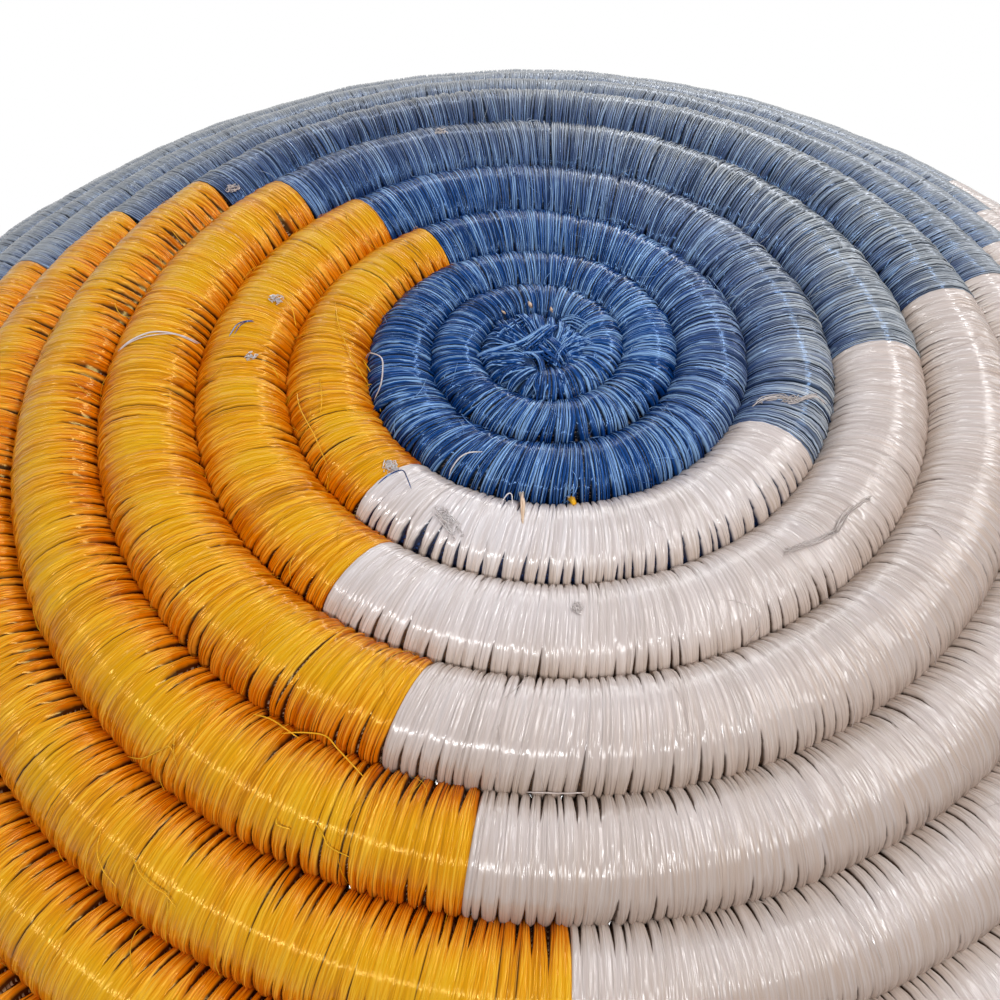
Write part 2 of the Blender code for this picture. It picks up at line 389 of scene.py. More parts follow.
@dataclass(frozen=True)
class CoilShape:
    """The spiral that the coil follows and the round section that it has along the way."""

    pitch: float = 10.0
    start_pitch: float = 4.6
    growth_turns: float = 3.9
    knot_radius: float = 3.2
    first_turn: float = 1.0
    last_turn: float = 18.9
    taper_turns: float = 0.1
    tip_share: float = 0.4
    base_run: float = 43.0
    bend_radius: float = 22.0
    bend_angle: float = math.radians(21.0)
    wall_radius: float = 180.0
    middle_height: float = 4.8
    face_inset: float = 0.25
    side_overlap: float = 0.42
    mean_lean: float = 0.3
    front_lean: float = 0.65
    lean_peak: float = 0.93
    lean_fades: float = 5.9

    def grown_pitch(self, turn: Array) -> Array:
        """Thickness of the coil, thin at the knot and full later."""
        grown = smooth_step((turn - self.first_turn) / self.growth_turns)
        return self.start_pitch + (self.pitch - self.start_pitch) * grown

    def pitch_at(self, turn: Array) -> Array:
        """Thickness of the coil where its tip also tapers."""
        tapered = smooth_step((turn - self.last_turn + self.taper_turns) / self.taper_turns)
        return self.grown_pitch(turn) * (1.0 - (1.0 - self.tip_share) * tapered)

    def groove_run(self, turn: Array) -> Array:
        """Distance from the centre, along the wall, to the groove outside the coil at each turn."""
        part = turn % 1.0
        run = self.knot_radius + self.start_pitch * part
        for whole in range(1, math.floor(turn.max()) + 1):
            run = run + np.where(whole <= np.floor(turn), self.pitch_at(part + whole), 0.0)
        return run

    def middle_run(self, turn: Array) -> Array:
        """Distance from the centre, along the wall, to the coil's middle at each turn."""
        return (self.groove_run(turn) + self.groove_run(turn - 1.0)) / 2.0

    def wall_point(self, run: Array) -> tuple[Array, Array, Array]:
        """Follow the bowl's side view along the middle of the coils.

        Args:
            run: Distances from the centre along the wall.

        Returns:
            Radius, height and slope there.
        """
        radius = np.minimum(run, self.base_run)
        height = np.full_like(run, self.middle_height)
        slope = np.zeros_like(run)
        left = np.maximum(run - self.base_run, 0.0)
        bend, wall = (self.bend_radius, self.bend_radius * self.bend_angle), (self.wall_radius, math.inf)
        for arc_radius, arc_run in (bend, wall):
            along = np.minimum(left, arc_run)
            new_slope = slope + along / arc_radius
            radius = radius + arc_radius * (np.sin(new_slope) - np.sin(slope))
            height = height + arc_radius * (np.cos(slope) - np.cos(new_slope))
            slope, left = new_slope, left - along
        return radius, height, slope

    def skin(self, turn: Array, angle: Array, lift: Array) -> Array:
        """Find points on the coil's skin.

        Args:
            turn: Turns along the coil.
            angle: Angles round its section.
            lift: Heights above the skin.

        Returns:
            Points, with the last axis for x, y and z.
        """
        radius, height, slope = self.wall_point(self.middle_run(turn))
        half = self.pitch_at(turn) / 2.0
        sunk = (self.pitch - self.grown_pitch(turn)) / 2.0
        outwards = np.cos(angle) * (half + self.side_overlap + lift)
        downwards = np.sin(angle) * (half - self.face_inset + lift) + sunk
        from_axis = radius + outwards * np.cos(slope) + downwards * np.sin(slope)
        heights = height + outwards * np.sin(slope) - downwards * np.cos(slope)
        around = math.tau * turn
        return np.stack((-np.sin(around) * from_axis, -np.cos(around) * from_axis, heights), axis=-1)

    def lean(self, turn: Array) -> Array:
        """How far the inner end of a stitch runs ahead of its crown: most at the front of the first turns."""
        early = 1.0 - smooth_step(turn - self.lean_fades)
        return self.mean_lean + self.front_lean * early * np.cos(math.tau * (turn - self.lean_peak))

    def arc_length(self, turns: Array) -> Array:
        """Length along the coil's middle from the first of these turns to each of them."""
        radius = self.wall_point(self.middle_run(turns))[0]
        steps = np.diff(turns) * math.pi * (radius[1:] + radius[:-1])
        return np.concatenate(([0.0], np.cumsum(steps)))


COIL = CoilShape()


@dataclass(frozen=True)
class ColourArms:
    """Where each arm of colour starts on every turn."""

    starts: tuple[tuple[Dye, tuple[int, ...]], ...] = (
        (Dye.ORANGE, (219, 225, 232, 238, 245, 253)),
        (Dye.WHITE, (325, 333, 348, 357, 365)),
        (Dye.BLUE, (426, 454, 465, 470, 478)),
    )
    first_turn: int = 3
    step: float = 8.0

    def changes(self, last: float) -> list[tuple[float, Dye, int]]:
        """List each change of colour before a turn.

        Args:
            last: The turn to stop at.

        Returns:
            For each change, its turn, the new colour and the arm's number on this colour.
        """
        found = []
        for number in range(math.ceil(last)):
            for dye, given in self.starts:
                known = min(number, len(given) - 1)
                degrees = given[known] + self.step * (number - known)
                found.append((self.first_turn + number + degrees / 360.0, dye, number + 1))
        return sorted((change for change in found if change[0] < last), key=lambda change: change[0])


@dataclass(frozen=True)
class StitchStyle:
    """How the stitches of one colour lie: each is a few strands side by side, narrowed at both grooves.

    The seams are how deep they are between strands and between stitches, and a pinch is the share of its
    width that a stitch loses in a groove. The calm turns are those over which the far stitches, out of
    focus in the photograph, grow even.
    """

    strand: float
    strand_spread: float
    fewest: int
    most: int
    strand_seam: float
    stitch_seam: float
    seam_shade: float
    inner_pinch: float
    outer_pinch: float
    slack: float
    knuckle: float
    proud: float
    sway: float
    stray: float
    crown_share: float
    shoulder: float
    looseness: Pair
    groove_power: float

    coarse_from: float = 10.5
    coarseness: float = 1.6
    calm_from: float = 7.0
    calm_to: float = 10.0
    calmest: float = 0.2


STYLES = {
    Dye.ORANGE: StitchStyle(
        strand=0.3, strand_spread=0.4, fewest=3, most=6, strand_seam=0.09, stitch_seam=0.22,
        seam_shade=0.7, inner_pinch=0.42, outer_pinch=0.2, slack=0.28, knuckle=0.3, proud=0.03,
        sway=0.12, stray=0.06, crown_share=0.3, shoulder=0.22, looseness=(0.5, 2.2), groove_power=1.7,
    ),
    Dye.WHITE: StitchStyle(
        strand=0.36, strand_spread=0.4, fewest=2, most=4, strand_seam=0.03, stitch_seam=0.1,
        seam_shade=0.42, inner_pinch=0.24, outer_pinch=0.22, slack=0.08, knuckle=0.26, proud=0.025,
        sway=0.08, stray=0.03, crown_share=0.35, shoulder=0.18, looseness=(0.85, 0.7), groove_power=2.2,
    ),
    Dye.BLUE: StitchStyle(
        strand=0.28, strand_spread=0.45, fewest=3, most=6, strand_seam=0.1, stitch_seam=0.2,
        seam_shade=1.2, inner_pinch=0.22, outer_pinch=0.24, slack=0.6, knuckle=0.2, proud=0.055,
        sway=0.16, stray=0.09, crown_share=0.85, shoulder=0.28, looseness=(0.55, 1.6), groove_power=1.7,
        calm_from=6.4, calm_to=8.4,
    ),
}


def new_mesh_piece(
    name: str, points: Array, faces: list[list[int]], material: Material, facts: Iterable[Array]
) -> Object:
    """Make a smooth mesh object that rides on the bowl.

    Args:
        name: The piece's name.
        points: Corners in millimetres, one row each.
        faces: Corner numbers of each face.
        material: Its material.
        facts: What its corners store, in the order of FACTS, or nothing.

    Returns:
        The new object.
    """
    mesh = bpy.data.meshes.new(name)
    mesh.from_pydata((points * MM).tolist(), [], faces)
    mesh.shade_smooth()
    mesh.materials.append(material)
    for fact, values in zip(FACTS, facts):
        layer = mesh.attributes.new(fact, "FLOAT_VECTOR", "POINT")
        layer.data.foreach_set("vector", values.astype(np.float32).ravel())
    piece = bpy.data.objects.new(name, mesh)
    bpy.context.scene.collection.objects.link(piece)
    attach(piece, BODY)
    return piece


def new_tube_piece(name: str, points: Array, material: Material, facts: Iterable[Array] = ()) -> Object:
    """Make a closed tube, whose last two corners are the middles of its ends.

    Args:
        name: The piece's name.
        points: Its corners, ring by ring along the tube. Seen along it, each ring runs anticlockwise.
        material: Its material.
        facts: What its corners store, in the order of FACTS, or nothing.

    Returns:
        The new object.
    """
    columns, rows = points.shape[:2]
    corner = np.arange(columns * rows).reshape(columns, rows)
    after = np.roll(corner, -1, axis=1)
    sides = np.stack((corner[:-1], corner[1:], after[1:], after[:-1]), axis=-1).reshape(-1, 4)
    near, far = (np.full(rows, columns * rows + end) for end in (0, 1))
    caps = np.stack(((near, corner[0], after[0]), (far, after[-1], corner[-1]))).swapaxes(1, 2).reshape(-1, 3)
    corners = np.concatenate((points.reshape(-1, 3), points[[0, -1]].mean(axis=1)))
    flat = [values.reshape(-1, 3) for values in facts]
    facts = [np.concatenate((values, values[:1], values[-1:])) for values in flat]
    return new_mesh_piece(name, corners, sides.tolist() + caps.tolist(), material, facts)


@dataclass
class StitchRun:
    """One colour's stitches along a stretch of the coil, as one closed skin with a seam between stitches.

    The wide gaps are turns, all on one side: 0 for the inner groove or 1 for the outer one.
    """

    name: str
    node: str
    dye: Dye
    first: float
    last: float
    seed: int

    openness: float = 1.0
    wide_side: int = 0
    wide_gaps: tuple[float, ...] = ()

    wideness: float = 5.0
    narrowest: float = 0.3
    section_steps: int = 28
    groove_crowding: float = 0.15
    groove_start: float = 0.3
    samples: int = 400
    gap_slope: float = 1.6
    clear_gap: float = 0.04
    dark_gap: float = 0.2
    deepest: float = 1.0
    deepest_in_groove: float = 0.3
    deepening: float = 5.0
    free_length: float = 3.0
    loose_power: float = 2.5
    seam_spread: Pair = (0.4, 1.6)
    shade_spread: Pair = (0.4, 1.0)
    stitch_tint: float = 0.12
    # Spread of the painted light on one shoulder of each strand and painted shade on the other.
    painted_side_light: Pair = (-0.2, 0.5)
    lean_waves: tuple[Pair, ...] = ((38.0, 0.22), (11.0, 0.15))
    lumps: tuple[Pair, ...] = ((31.0, 0.08), (13.0, 0.05), (5.3, 0.03))

    def build(self, material: Material) -> Object:
        """Model the run.

        Args:
            material: The finish of its colour.

        Returns:
            The new piece, standing for its sleeve in the model.
        """
        turns = np.linspace(self.first, self.last, self.samples)
        lengths = COIL.arc_length(turns)
        gaps = np.interp(self.wide_gaps, turns, lengths)
        place, lift, stitch, spread = self._columns(lengths[-1], gaps)
        angles = np.broadcast_to(self._angles(), place.shape)
        at_turn = np.interp(place, lengths, turns)
        at_turn = at_turn - COIL.lean(at_turn) * np.cos(angles) * (self.last - self.first) / lengths[-1]
        points = COIL.skin(at_turn, angles, lift)

        half = COIL.pitch_at(at_turn) / 2.0
        strand = np.stack((spread, half * np.cos(angles), half * np.sin(angles)), axis=-1)
        strand[..., 1:] += self.seed
        coil = np.stack((at_turn, np.cos(angles), np.sin(angles)), axis=-1)
        piece = new_tube_piece(self.name, points, material, (strand, stitch, coil))
        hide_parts(self.node)
        return piece

    def _angles(self) -> Array:
        """Angles of the rows round the section, closer together at the grooves."""
        share = np.arange(self.section_steps) / self.section_steps
        squeeze = self.groove_crowding * np.sin(2.0 * math.tau * share) / math.tau
        return math.tau * (share - squeeze)

    def _closeness(self, angles: Array, side: float) -> Array:
        """How near each angle is to the groove on one side: 1 in the groove and 0 on the crown."""
        near = (side * np.cos(angles) - self.groove_start) / (1.0 - self.groove_start)
        return np.clip(near, 0.0, 1.0) ** STYLES[self.dye].groove_power

    @staticmethod
    def _waves(rng: np.random.Generator, place: Array, parts: tuple[Pair, ...]) -> Array:
        """Add up sine waves, each given by its length and size, with chance offsets."""
        return sum(size * np.sin(math.tau * (place / length + rng.random())) for length, size in parts)

    def _columns(self, length: float, gaps: Array) -> tuple[Array, Array, Array, Array]:
        """Lay out the strands: a seam and two shoulders for each, and the last seam.

        Args:
            length: Length of the run.
            gaps: Places of its wide gaps.

        Returns:
            For each column and row, its place along the run, its height, its "stitch" facts, and the place
            that it would have if no stitch was narrowed.
        """
        style = STYLES[self.dye]
        rng = np.random.default_rng(self.seed)
        angles = self._angles()
        rows = len(angles)
        inner, outer = self._closeness(angles, -1.0), self._closeness(angles, 1.0)
        groove = inner + outer

        strand = style.strand * (style.coarseness if self.first > style.coarse_from else 1.0)
        calm = 1.0 - (self.first - style.calm_from) / (style.calm_to - style.calm_from)
        calm = min(max(calm, style.calmest), 1.0)
        stitches = max(2, round(2.0 * length / (strand * (style.fewest + style.most))))
        sizes = rng.integers(style.fewest, style.most + 1, stitches)
        owner = np.repeat(np.arange(stitches), sizes)
        count = len(owner)
        widths = 1.0 + style.strand_spread * rng.uniform(-1.0, 1.0, count)
        seams = np.concatenate(([0.0], np.cumsum(widths))) * length / widths.sum()
        widths = np.diff(seams)
        borders = np.concatenate(([0], np.cumsum(sizes)))
        middle = (seams[borders[1:]] + seams[borders[:-1]]) / 2.0
        half = np.diff(seams[borders]) / 2.0

        free = np.minimum(1.0, np.minimum(middle, length - middle) / self.free_length)
        lean = self._waves(rng, middle, self.lean_waves) * free
        sway = rng.normal(0.0, style.sway, (2, stitches)) * free
        centre = middle[:, None] - np.outer(lean, np.cos(angles))
        centre = centre + np.outer(sway[0], inner) + np.outer(sway[1], outer)
        snug, spread = style.looseness
        loose = self.openness * (snug + spread * rng.random((2, stitches)) ** self.loose_power)
        for gap_place in gaps:
            nearest = int(np.argmin(np.abs(middle - gap_place)))
            loose[self.wide_side, nearest : nearest + 2] = self.wideness
        kept = 1.0 - np.outer(style.inner_pinch * loose[0], inner)
        kept = np.maximum(kept - np.outer(style.outer_pinch * loose[1], outer), self.narrowest)
        slack = style.slack * calm * rng.random(count) ** 2
        wander = np.cos(angles - rng.uniform(0.0, math.tau, count)[:, None])
        thin = widths[:, None] * slack[:, None] * np.maximum(wander, 0.0) ** 2 / 2.0
        stray = (style.stray * free[owner] * rng.normal(0.0, 1.0, count))[:, None] * wander
        axis = centre[owner] + stray
        left = axis + (seams[:-1] - middle[owner])[:, None] * kept[owner] + thin
        right = axis + (seams[1:] - middle[owner])[:, None] * kept[owner] - thin

        before = np.concatenate((np.zeros((1, rows)), right))
        after = np.concatenate((left, np.full((1, rows), length)))
        seam_place = np.maximum.accumulate((before + after) / 2.0)
        seam_place[[0, -1]] = [[0.0], [length]]
        gap = np.maximum(after - before, 0.0)
        base = np.full(count + 1, style.strand_seam)
        base[borders] = style.stitch_seam
        base *= calm
        graded = style.crown_share + (1.0 - style.crown_share) * groove
        depth = np.outer(base * rng.uniform(*self.seam_spread, count + 1), graded) + self.gap_slope * gap
        depth = np.minimum(depth, self.deepest_in_groove + self.deepening * (1.0 - np.abs(np.cos(angles))))
        depth = np.minimum(depth, self.deepest)

        left, right = np.maximum(left, seam_place[:-1]), np.minimum(right, seam_place[1:])
        inset = style.shoulder * (right - left)
        nominal = style.shoulder * widths
        aside = np.stack((seams[:-1], seams[:-1] + nominal, seams[1:] - nominal), axis=1)
        relative = (aside - middle[owner, None]) / half[owner, None]
        drop = -style.knuckle * relative[..., None] ** 2 * groove
        lump = self._waves(rng, aside, self.lumps)[..., None] * (1.0 - groove)
        uneven, tilted = (rng.normal(0.0, style.proud * calm, (count, 1)) for _ in range(2))
        proud = uneven + tilted * np.sin(angles + rng.uniform(0.0, math.tau, (count, 1)))
        own = np.stack((-depth[:-1], proud, proud), axis=1)
        place = np.stack((seam_place[:-1], left + inset, right - inset), axis=1)
        lift = own + drop + lump
        tint = self.stitch_tint * rng.random(stitches)[owner] + (1.0 - self.stitch_tint) * rng.random(count)
        tint = 0.5 + (tint - 0.5) * math.sqrt(calm)
        # Painted shade in the seams, and in each gap as it widens.
        shade = style.seam_shade * math.sqrt(calm) * rng.uniform(*self.shade_spread, (count + 1, 1)) * graded
        gap_shade = np.maximum(smooth_step((gap - self.clear_gap) / self.dark_gap), shade)
        tints = np.broadcast_to(tint[:, None], (count, rows))
        # Painted light on one shoulder of each strand and painted shade on the other.
        across = rng.uniform(*self.painted_side_light, (count, 1))
        grooves = np.broadcast_to(groove, (count, rows))
        parts = ((0.0, gap_shade[:-1]), (1.0, np.zeros_like(grooves)), (-1.0, np.zeros_like(grooves)))
        facts = [np.stack((tints + side * across, part, grooves), axis=-1) for side, part in parts]
        last_facts = np.stack((tints[-1], gap_shade[-1], groove), axis=-1)
        return (
            np.concatenate((place.reshape(-1, rows), seam_place[-1:])),
            np.concatenate((lift.reshape(-1, rows), (drop[-1, 0] - depth[-1])[None])),
            np.concatenate((np.stack(facts, axis=1).reshape(-1, rows, 3), last_facts[None])),
            np.broadcast_to(np.append(aside.ravel(), length)[:, None], (3 * count + 1, rows)),
        )


@dataclass(frozen=True)
class StrawBundle:
    """The bundle of grass stems that the stitches hold: it follows the coil closely, well inside them."""

    name: str = "grass_bundle"
    node: str = "foundation_coil"
    depth: float = 1.3
    steps_per_turn: int = 90
    sides: int = 12
    end_gap: float = 0.004

    def build(self, material: Material) -> Object:
        """Model the bundle as one tube, standing for the coil in the model."""
        first, last = COIL.first_turn + self.end_gap, COIL.last_turn - self.end_gap
        turns = np.linspace(first, last, round((last - first) * self.steps_per_turn) + 1)
        angles = np.linspace(0.0, math.tau, self.sides, endpoint=False)
        points = COIL.skin(turns[:, None], angles[None, :], -self.depth)
        piece = new_tube_piece(self.name, points, material)
        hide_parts(self.node)
        return piece


@dataclass
class StarKnot:
    """The bound first bend: strands fan out from a point near the middle, on both faces of the button."""

    name: str = "start_knot_strands"
    node: str = "start_knot"
    seed: int = 500
    centre: Pair = (-1.2, -2.2)
    strands: int = 120
    stitch: tuple[int, int] = (2, 6)
    widths: Pair = (0.7, 1.3)
    cover: float = 4.6
    cover_turns: float = 0.4
    middle_height: float = 2.35
    half_height: float = 1.8
    rows: int = 21
    smallest: float = 0.04
    flatness: float = 0.5
    edge_power: float = 0.85
    dimple: float = 0.6
    seam: float = 0.16
    seam_spread: Pair = (0.5, 1.5)
    middle_seam: float = 0.3
    proud: float = 0.12
    strand_proud: float = 0.5
    pinch: float = 0.3
    swirl: float = 0.05
    shoulder: float = 0.22
    seam_shade: Pair = (0.5, 1.0)
    darkest_seam: float = 0.8
    shadow: float = 0.3
    hollow_shadow: float = 0.4
    hollow_reach: float = 0.34
    hollow_fades: float = 0.3
    # How deep in a groove the whole fan lies, which gives it a little painted groove shade.
    groove: float = 0.2
    millimetres_round: float = 40.0
    millimetres_across: float = 7.0

    def build(self, material: Material) -> Object:
        """Model the fan of strands, standing for the button in the model."""
        rng = np.random.default_rng(self.seed)
        sizes = rng.integers(self.stitch[0], self.stitch[1] + 1, self.strands)
        sizes = sizes[: np.searchsorted(np.cumsum(sizes), self.strands)]
        owner = np.repeat(np.arange(len(sizes)), sizes)
        count = len(owner)
        seams = np.concatenate(([0.0], np.cumsum(rng.uniform(*self.widths, count))))
        seams /= seams[-1]
        borders = np.concatenate(([0], np.cumsum(sizes)))
        middle = (seams[borders[1:]] + seams[borders[:-1]])[owner, None] / 2.0

        tilt = np.linspace(-math.pi / 2.0, math.pi / 2.0, self.rows)
        out = np.maximum(np.abs(np.cos(tilt)) ** self.flatness, self.smallest)
        kept = 1.0 - self.pinch * np.clip(np.cos(tilt), 0.0, 1.0) ** 3
        swirl = self.swirl * rng.normal(0.0, 1.0, len(sizes))[owner, None] * (1.0 - out)
        left, right = (middle + (side[:, None] - middle) * kept + swirl for side in (seams[:-1], seams[1:]))
        before = np.roll(right, 1, axis=0)
        before[0] -= 1.0
        inset = self.shoulder * np.diff(seams)[:, None]
        turn = np.stack(((before + left) / 2.0, left + inset, right - inset), axis=1)
        depth = self.seam * rng.uniform(*self.seam_spread, (count, 1))
        depth = depth * (self.middle_seam + (1.0 - self.middle_seam) * out)
        proud = rng.normal(0.0, 1.0, len(sizes))[owner, None]
        proud = proud + self.strand_proud * rng.normal(0.0, 1.0, (count, 1))
        proud = self.proud * proud * (1.0 - out)
        points = self._points(turn, np.stack((proud - depth, proud, proud), axis=1), out, tilt)

        across = np.broadcast_to(self.millimetres_across * tilt, turn.shape)
        strand = np.stack((self.millimetres_round * turn, across, np.zeros_like(turn)), axis=-1)
        shade = np.zeros_like(turn)
        shade[:, 0] = self.darkest_seam * rng.uniform(*self.seam_shade, (count, 1)) * out
        hollow = smooth_step((self.hollow_reach - out) / self.hollow_fades)
        shade = np.maximum(shade, self.shadow + self.hollow_shadow * hollow)
        tint = np.broadcast_to(rng.random((count, 1, 1)), turn.shape)
        stitch = np.stack((tint, shade, np.full_like(shade, self.groove)), axis=-1)
        points, *facts = (
            values.reshape(3 * count, self.rows, 3).swapaxes(0, 1)
            for values in (points, strand, stitch, np.zeros_like(strand))
        )
        piece = new_tube_piece(self.name, points, material, facts)
        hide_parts(self.node)
        return piece

    def edge(self, part: Array) -> Array:
        """Distance from the bowl's axis to the fan's edge, at each part of a turn."""
        return COIL.groove_run(part) + self.cover * (1.0 - smooth_step(part / self.cover_turns))

    def _points(self, turn: Array, lift: Array, out: Array, tilt: Array) -> Array:
        """Place the strands: from the middle of one face over the edge to the middle of the other."""
        away = self.edge(turn % 1.0) * out + lift * np.cos(tilt)
        around = math.tau * turn
        shift = 1.0 - out
        reach = np.abs(np.sin(tilt)) ** self.edge_power
        swell = self.half_height * reach - self.dimple * shift**2 + lift * np.abs(np.sin(tilt))
        height = self.middle_height + np.sign(tilt) * swell
        across = self.centre[0] * shift - np.sin(around) * away
        along = self.centre[1] * shift - np.cos(around) * away
        return np.stack((across, along, height), axis=-1)


def smooth_path(stops: Array, steps: int) -> Array:
    """Draw a smooth path through its stops.

    Args:
        stops: The stops, one row each.
        steps: Number of points to give.

    Returns:
        The points.
    """
    padded = np.concatenate((2.0 * stops[:1] - stops[1:2], stops, 2.0 * stops[-1:] - stops[-2:-1]))
    at = np.linspace(0.0, len(stops) - 1.0, steps)
    start = np.minimum(at.astype(int), len(stops) - 2)
    part = (at - start)[:, None]
    before, here, there, beyond = (padded[start + shift] for shift in range(4))
    bend = 2.0 * before - 5.0 * here + 4.0 * there - beyond
    curve = 3.0 * (here - there) + beyond - before
    return here + 0.5 * part * (there - before + part * (bend + part * curve))


@dataclass
class Fibres:
    """Separate fibres made into one piece, each a thin tube that narrows towards both ends."""

    name: str
    paths: Array
    radii: Array
    tints: Array
    turns: Array
    sides: int = 4
    narrowing: float = 0.7
    taper: float = 6.0
    across: Point = (0.3, 0.2, 0.9)
    streak_step: float = 0.37
    half_length: float = 4.0

    def build(self, material: Material, slot: str) -> Object:
        """Model the fibres.

        Args:
            material: Their finish.
            slot: Not used.

        Returns:
            The new piece.
        """
        count, steps = self.paths.shape[:2]
        along = np.gradient(self.paths, axis=1)
        aside = np.cross(along, self.across)
        over = np.cross(along, aside)
        aside, over = (way / np.linalg.norm(way, axis=-1, keepdims=True) for way in (aside, over))
        share = np.linspace(-1.0, 1.0, steps)
        thick = self.radii[:, None] * (1.0 - self.narrowing * np.abs(share) ** self.taper)
        around = math.tau * np.arange(self.sides) / self.sides
        ring = aside[:, :, None] * np.cos(around)[:, None] + over[:, :, None] * np.sin(around)[:, None]
        corners = self.paths[:, :, None] + ring * thick[:, :, None, None]

        number = np.arange(count * steps * self.sides).reshape(count, steps, self.sides)
        after = np.roll(number, -1, axis=2)
        walls = np.stack((number[:, :-1], after[:, :-1], after[:, 1:], number[:, 1:]), axis=-1).reshape(-1, 4)
        faces = walls.tolist() + number[:, 0, ::-1].tolist() + number[:, -1].tolist()
        strand, stitch, coil = facts = np.zeros((3, *number.shape, 3))
        strand[..., 0] = self.streak_step * np.arange(count)[:, None, None]
        strand[..., 1] = self.half_length * share[:, None]
        stitch[..., 0] = self.tints[:, None, None]
        coil[..., 0] = self.turns[:, None, None]
        piece = new_mesh_piece(self.name, corners.reshape(-1, 3), faces, material, facts)
        return piece


@dataclass(frozen=True)
class StrayHairs:
    """Hairs of one colour that have worked a little loose and lie across its stitches."""

    dye: Dye
    seed: int
    per_mm: float
    shortest: float
    longest: float
    skew: float
    rise: float
    radius: float
    tint: Pair
    radius_spread: Pair = (0.6, 1.2)
    steps: int = 8
    samples: int = 60
    floor_clear: float = 0.06
    last_turn: float = 9.0

    def build(self, runs: list[StitchRun], material: Material) -> Object:
        """Scatter the hairs over every run of their colour.

        Args:
            runs: All the runs of stitches.
            material: The finish of the colour.

        Returns:
            The new piece.
        """
        rng = np.random.default_rng(self.seed)
        own = [run for run in runs if run.dye is self.dye and run.first < self.last_turn]
        first, last = np.array([run.first for run in own]), np.array([run.last for run in own])
        stretches = [np.linspace(run.first, run.last, self.samples) for run in own]
        lengths = np.array([COIL.arc_length(stretch)[-1] for stretch in stretches])
        owner = np.repeat(np.arange(len(own)), np.round(self.per_mm * lengths).astype(int))
        count = len(owner)
        per_mm = ((last - first) / lengths)[owner, None]
        share = np.linspace(-0.5, 0.5, self.steps)
        middle = first[owner] + (last - first)[owner] * rng.random(count)
        skew, bow = rng.normal(0.0, self.skew, (2, count, 1))
        turn = middle[:, None] + per_mm * (skew * share + bow * (4.0 * share**2 - 0.5))
        turn = np.clip(turn, first[owner, None], last[owner, None])
        span = rng.uniform(self.shortest, self.longest, (count, 1))
        angle = rng.uniform(0.0, math.tau, (count, 1)) + span * share
        lift = self.floor_clear + self.rise * rng.random((count, 1)) ** 3 * (1.0 - 4.0 * share**2)
        radii = self.radius * rng.uniform(*self.radius_spread, count)
        tints = rng.uniform(*self.tint, count)
        name, paths = f"{self.dye.value}_stray_hairs", COIL.skin(turn, angle, lift)
        return Fibres(name, paths, radii, tints, middle, 3).build(material, f"{self.dye.value}_fibre")


STRAY_HAIRS = (
    StrayHairs(Dye.ORANGE, 601, 0.5, 0.5, 1.6, 0.9, 0.4, 0.045, (0.3, 1.5)),
    StrayHairs(Dye.WHITE, 602, 0.2, 0.4, 1.4, 0.8, 0.3, 0.04, (0.2, 1.0)),
    StrayHairs(Dye.BLUE, 603, 1.0, 0.4, 1.2, 1.0, 0.25, 0.04, (0.2, 1.15)),
)


@dataclass(frozen=True)
class LooseEnd:
    """One fibre standing off the coil, by its stops: turn, angle round the section in degrees, height."""

    stops: tuple[Point, ...]
    radius: float = 0.07
    tint: float = 1.2


@dataclass(frozen=True)
class LooseEnds:
    """Single loose fibres of one colour, where the photograph has them."""

    name: str
    dye: Dye
    ends: tuple[LooseEnd, ...]
    finish: SisalFinish | None = None
    taper: float = 6.0
    steps: int = 28

    def build(self, material: Material) -> Object:
        """Model the fibres in the finish of their colour."""
        paths = []
        for end in self.ends:
            turn, angle, lift = np.array(end.stops).T
            paths.append(smooth_path(COIL.skin(turn, np.radians(angle), lift), self.steps))
        facts = np.array([(end.radius, end.tint, end.stops[0][0]) for end in self.ends]).T
        fibres = Fibres(self.name, np.stack(paths), *facts, taper=self.taper)
        return fibres.build(material, f"{self.dye.value}_fibre")


